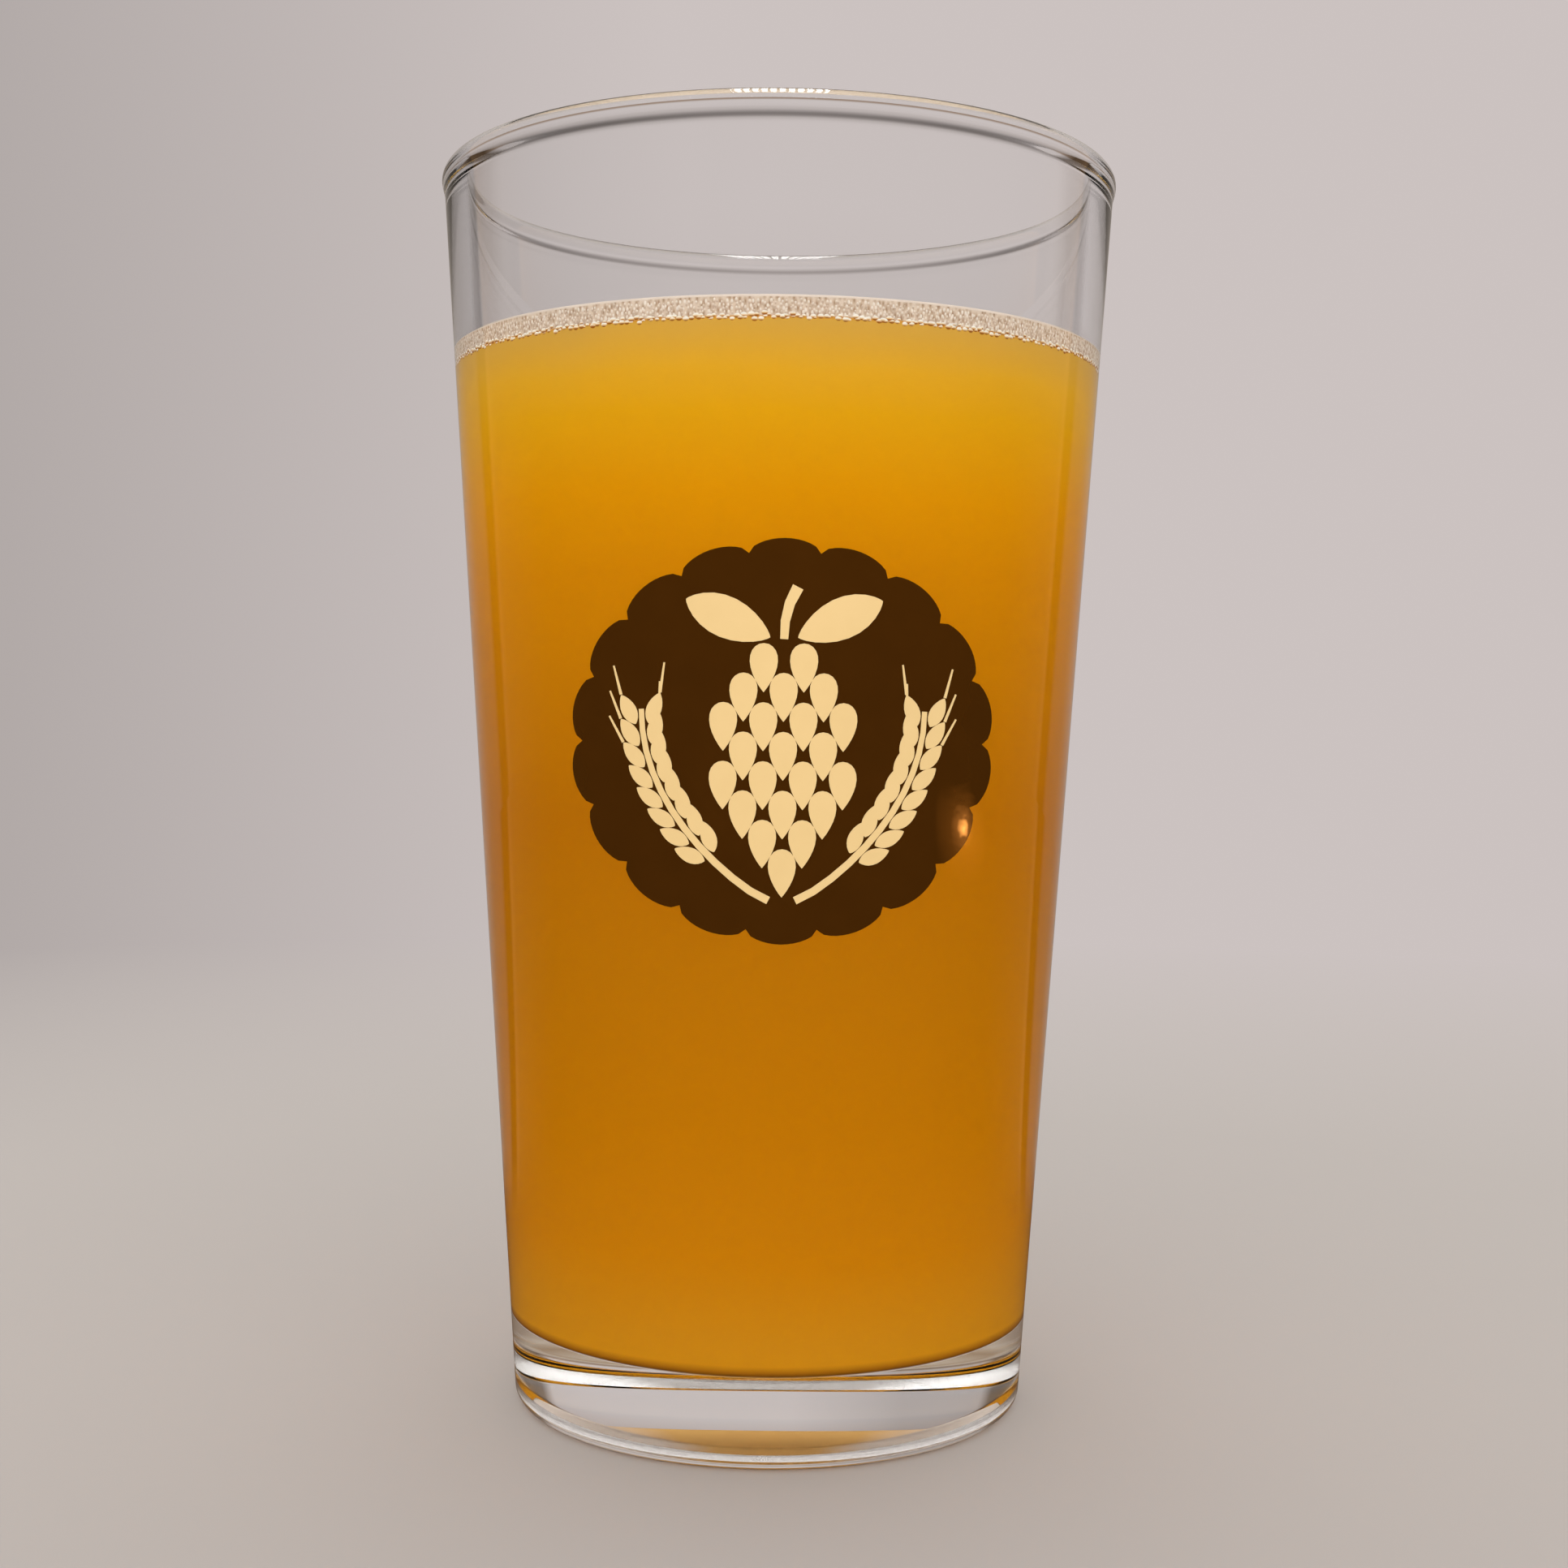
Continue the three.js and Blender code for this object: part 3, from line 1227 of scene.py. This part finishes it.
@dataclass
class Studio:
    """The floor, the soft light all round and the camera. None of it is part of the object.

    The camera's sizes are in millimetres, and places on the floor are in metres.
    """

    lens: float = 48.63
    sensor: float = 36.0
    distance: float = 275.58
    eye_height: float = 86.12
    pitch: float = 0.0258
    roll: float = 0.0103
    shift: float = 0.0071
    bounces: int = 24
    backdrop: Paint = (0.60, 0.541, 0.529, 1.0)
    floor_radius: float = 0.9
    floor_paint: Paint = (0.4, 0.372, 0.355, 1.0)
    floor_fade: Point = (0.2, 0.6)  # where the floor fades into the backdrop
    # painted light: a paler disc under the glass, standing in for light that the base focuses onto the floor
    painted_light_disc: Paint = (0.9, 0.88, 0.86, 1.0)
    disc_edge: Point = (0.031, 0.029)
    base_view: Point = (0.14, 0.10)  # the clear base shows its own floor tones as far as this
    base_share: float = 0.85
    near_floor: Paint = (0.10, 0.06, 0.035, 1.0)  # the floor close by, as the glass mirrors it
    near_fade: Point = (0.11, 0.16)
    glint_place: Triple = (0.536, -0.150, 0.0)
    glint: Stops = (
        (0.0, (34, 14, 3)),
        (0.011, (24, 9, 1.8)),
        (0.03, (4.5, 1.5, 0.25)),
        (0.06, (1.3, 0.4, 0.05)),
        (0.13, BLACK),
    )

    @property
    def eye(self) -> Triple:
        """The camera's place, in metres."""
        return (0.0, -self.distance * MM, self.eye_height * MM)

    def camera(self) -> None:
        """Places the camera at the photograph's angle."""
        data = bpy.data.cameras.new("camera")
        data.lens = self.lens
        data.sensor_width = self.sensor
        data.shift_x = self.shift
        data.clip_start = 0.01
        camera = Bench.linked("camera", data)
        tilt = Matrix.Rotation(QUARTER - self.pitch, 4, "X")
        camera.matrix_world = Matrix.Translation(self.eye) @ tilt @ Matrix.Rotation(self.roll, 4, "Z")
        bpy.context.scene.camera = camera

    def mirrored(self, nodes: Nodes, forward: Socket) -> Socket:
        """What the outside of the glass mirrors.

        Args:
            nodes: The tree that it goes into.
            forward: The mirrored direction's share along +Y, from -1 to 1.

        Returns:
            The mirrored colour.
        """
        stops = [
            (-1.0, (0.012, 0.009, 0.006)),
            (0.0, (0.02, 0.012, 0.006)),
            (0.47, (0.30, 0.16, 0.06)),
            (0.52, (0.45, 0.25, 0.10)),
            (0.55, (0.012, 0.010, 0.009)),
            (0.62, (0.02, 0.018, 0.017)),
            (0.66, (0.15, 0.14, 0.135)),
            (0.80, (0.20, 0.172, 0.145)),
            (1.0, (0.38, 0.33, 0.29)),
        ]
        return nodes.ramp(forward, stops)

    def behind(self, nodes: Nodes, aside: Socket) -> Socket:
        """The pale backdrop, which falls off to the left.

        Args:
            nodes: The tree that it goes into.
            aside: The direction's share along +X.

        Returns:
            The backdrop's colour.
        """
        fade = nodes.ramp(aside, [(-0.34, (0.74, 0.74, 0.735)), (-0.05, CLEAR)])
        return nodes.times(self.backdrop, fade)

    def floor(self) -> None:
        """Lays a pale floor that fades into the backdrop, with a paler disc of painted light under the glass.
        """
        Bench.clear_selection()
        bpy.ops.mesh.primitive_circle_add(vertices=96, radius=self.floor_radius, fill_type="NGON")
        floor = Bench.name(bpy.context.object, "floor")
        nodes = Nodes.material("pale_floor")
        place = nodes.place()
        far = nodes.vector("LENGTH", place).outputs["Value"]
        sight = nodes.vector("SUBTRACT", place, self.eye).outputs["Vector"]
        aside = nodes.axes(nodes.vector("NORMALIZE", sight).outputs["Vector"])[0]
        paint = nodes.add("BsdfDiffuse")
        # paler disc of painted light under the glass
        disc = nodes.share(far, *self.disc_edge)
        nodes.link(nodes.mix(disc, self.floor_paint, self.painted_light_disc), paint.inputs["Color"])
        fade = nodes.share(far, *self.floor_fade)
        seen = nodes.blend(fade, paint.outputs[0], nodes.glow(self.behind(nodes, aside)))
        close = nodes.math("MULTIPLY", self.through(nodes), nodes.share(far, *self.base_view))
        bent = nodes.glow(self.refracted(nodes, far))
        through = nodes.blend(nodes.math("MULTIPLY", close, self.base_share), seen, bent)
        forward = nodes.math("DIVIDE", nodes.axes(place)[1], far)
        ground = nodes.mix(nodes.share(far, *self.near_fade), self.near_floor, self.mirrored(nodes, forward))
        gap = nodes.vector("DISTANCE", place, self.glint_place).outputs["Value"]
        mirrored = nodes.glow(nodes.plus(ground, nodes.ramp(gap, self.glint)))
        floor.data.materials.append(nodes.finish(nodes.blend(self.reflected(nodes), through, mirrored)))

    def refracted(self, nodes: Nodes, far: Socket) -> Socket:
        """The floor as the clear base shows it, with bright patches of focused light at the back.

        Args:
            nodes: The tree that it goes into.
            far: The distance from the glass's axis, in metres.

        Returns:
            The floor's colour under the glass and close round it.
        """
        x, y, _ = nodes.axes(nodes.place())
        turn = nodes.math("ARCTAN2", nodes.math("ABSOLUTE", x), y)
        pale, bright, dull = (1.55, 1.5, 1.47), (4.2, 4.15, 4.1), (0.7, 0.6, 0.5)
        stops = [(0.22, pale), (0.36, bright), (0.6, bright), (0.74, dull), (1.4, dull), (1.7, pale)]
        patch = nodes.ramp(turn, stops)
        stops = [(0.0, (0.34, 0.23, 0.14)), (0.1, (0.5, 0.4, 0.3)), (0.3, (0.34, 0.25, 0.18))]
        return nodes.mix(nodes.share(far, 0.033, 0.036), patch, nodes.ramp(turn, stops))

    def through(self, nodes: Nodes) -> Socket:
        """Tells rays that come from the eye through glass from all others.

        Args:
            nodes: The tree that it goes into.

        Returns:
            1 for such rays, otherwise 0.
        """
        path = nodes.add("LightPath")
        first = nodes.math("LESS_THAN", path.outputs["Diffuse Depth"], 0.5)
        return nodes.math("MULTIPLY", path.outputs["Is Transmission Ray"], first)

    def reflected(self, nodes: Nodes) -> Socket:
        """Tells rays that a clean surface mirrors straight from the eye from all others.

        Args:
            nodes: The tree that it goes into.

        Returns:
            1 for such rays, otherwise 0.
        """
        path = nodes.add("LightPath")
        first = nodes.math("LESS_THAN", path.outputs["Diffuse Depth"], 0.5)
        bounced = nodes.math("SUBTRACT", path.outputs["Is Glossy Ray"], path.outputs["Is Transmission Ray"])
        return nodes.math("MULTIPLY", nodes.math("MAXIMUM", bounced, 0.0), first)

    def lamps(self, nodes: Nodes, axes: list[Socket], level: float) -> Socket:
        """A row of ten small lamps high above, which the round rim mirrors as a broken line.

        Args:
            nodes: The tree that it goes into.
            axes: The direction's shares along X, Y and Z.
            level: The lamps' strength.

        Returns:
            The strength in this direction.
        """
        x, y, z = axes
        up = nodes.math("MAXIMUM", z, 0.01)
        ahead = nodes.math("DIVIDE", y, up)
        spread = nodes.math("MULTIPLY", nodes.math("POWER", 0.472, ahead), 1.12)
        along = nodes.math("DIVIDE", nodes.math("DIVIDE", x, up), spread)
        row = nodes.math("LESS_THAN", nodes.math("ABSOLUTE", nodes.math("SUBTRACT", ahead, 0.22)), 0.5)
        inside = nodes.math("LESS_THAN", nodes.math("ABSOLUTE", along), 0.128)
        dash = nodes.math("LESS_THAN", nodes.math("FRACT", nodes.math("MULTIPLY", along, 42.4)), 0.66)
        lit = nodes.math("MULTIPLY", row, inside)
        return nodes.math("MULTIPLY", lit, nodes.math("MULTIPLY", dash, level))

    def cards(self, nodes: Nodes, axes: list[Socket]) -> Socket:
        """Soft dark cards round the set, which show as bands in the clear wall and the base.

        Args:
            nodes: The tree that it goes into.
            axes: The direction's shares along X, Y and Z.

        Returns:
            The share of light that the cards leave, as a colour.
        """
        turn = nodes.math("ARCTAN2", nodes.math("ABSOLUTE", axes[0]), axes[1])
        dark = (0.45, 0.44, 0.43)
        high = nodes.ramp(turn, [(0.4, CLEAR), (0.43, dark), (0.54, dark), (0.58, CLEAR)])
        dim, dimmer = (0.3, 0.28, 0.26), (0.24, 0.22, 0.2)
        low = nodes.ramp(turn, [(0.76, CLEAR), (0.86, dim), (1.06, dimmer), (1.2, CLEAR)])
        brown = nodes.ramp(axes[2], [(-0.2, (0.42, 0.32, 0.22)), (0.07, (0.55, 0.45, 0.36)), (0.14, CLEAR)])
        both_walls = nodes.math("GREATER_THAN", nodes.add("LightPath").outputs["Transmission Depth"], 2.5)
        left = nodes.math("LESS_THAN", axes[0], 0.0)
        return nodes.mix(both_walls, nodes.times(low, brown), nodes.mix(left, (*CLEAR, 1.0), high))

    def world(self) -> None:
        """Lights the set with a soft pale surround, and gives the glass a darker one to mirror."""
        nodes = Nodes(bpy.data.worlds.new("soft_surround"))
        bpy.context.scene.world = nodes.owner
        axes = nodes.axes(nodes.add("TexCoord").outputs["Generated"])
        level = nodes.ramp(axes[2], [(0.0, (2.1, 2.05, 2.0)), (1.0, (0.46, 0.45, 0.44))])
        depth = nodes.math("MULTIPLY", nodes.math("POWER", axes[1], 2.0), 1.3)
        ambient = nodes.glow(nodes.times(level, nodes.math("ADD", depth, 1.0)))
        backdrop = self.behind(nodes, axes[0])
        pale, dim, dark = (0.8, 0.79, 0.78), (0.26, 0.25, 0.24), (0.12, 0.115, 0.11)
        ceiling = nodes.ramp(axes[2], [(0.34, CLEAR), (0.42, pale), (0.52, dim), (0.7, dark)])
        shaded = nodes.times(nodes.times(backdrop, ceiling), self.cards(nodes, axes))
        bent = nodes.glow(nodes.plus(shaded, self.lamps(nodes, axes, 1.2)))
        above = nodes.ramp(axes[2], [(0.25, BLACK), (0.6, (0.26, 0.23, 0.2))])
        room = nodes.plus(self.mirrored(nodes, axes[1]), above)
        lamps = nodes.plus(room, self.lamps(nodes, axes, 9.0))
        seen = nodes.blend(nodes.add("LightPath").outputs["Is Camera Ray"], ambient, nodes.glow(backdrop))
        lit = nodes.blend(self.through(nodes), seen, bent)
        nodes.finish(nodes.blend(self.reflected(nodes), lit, nodes.glow(lamps)))

    def build(self) -> None:
        """Sets up the camera, the floor and the light."""
        self.camera()
        self.floor()
        self.world()
        scene = bpy.context.scene
        scene.view_settings.view_transform = "Standard"
        scene.cycles.transmission_bounces = self.bounces
        scene.cycles.max_bounces = self.bounces


def main() -> None:
    """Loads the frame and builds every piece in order."""
    logging.basicConfig(level=logging.INFO, format="%(name)s: %(message)s")
    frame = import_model()
    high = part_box(Node.GLASS.value)[1]
    form = GlassForm(height=high.z / MM - HAIR, rim_radius=high.x / MM - HAIR)
    Studio().build()
    pieces = [PintGlass(form).build(), BeerBody(form).build(), *FoamLayer(form).build(), *Badge(form).build()]
    for piece in pieces:
        LOG.info("%s: %d faces", piece.name, len(piece.data.polygons))
    LOG.info("stands for the nodes %s", sorted(frame["nodes"]))


if __name__ == "__main__":
    main()
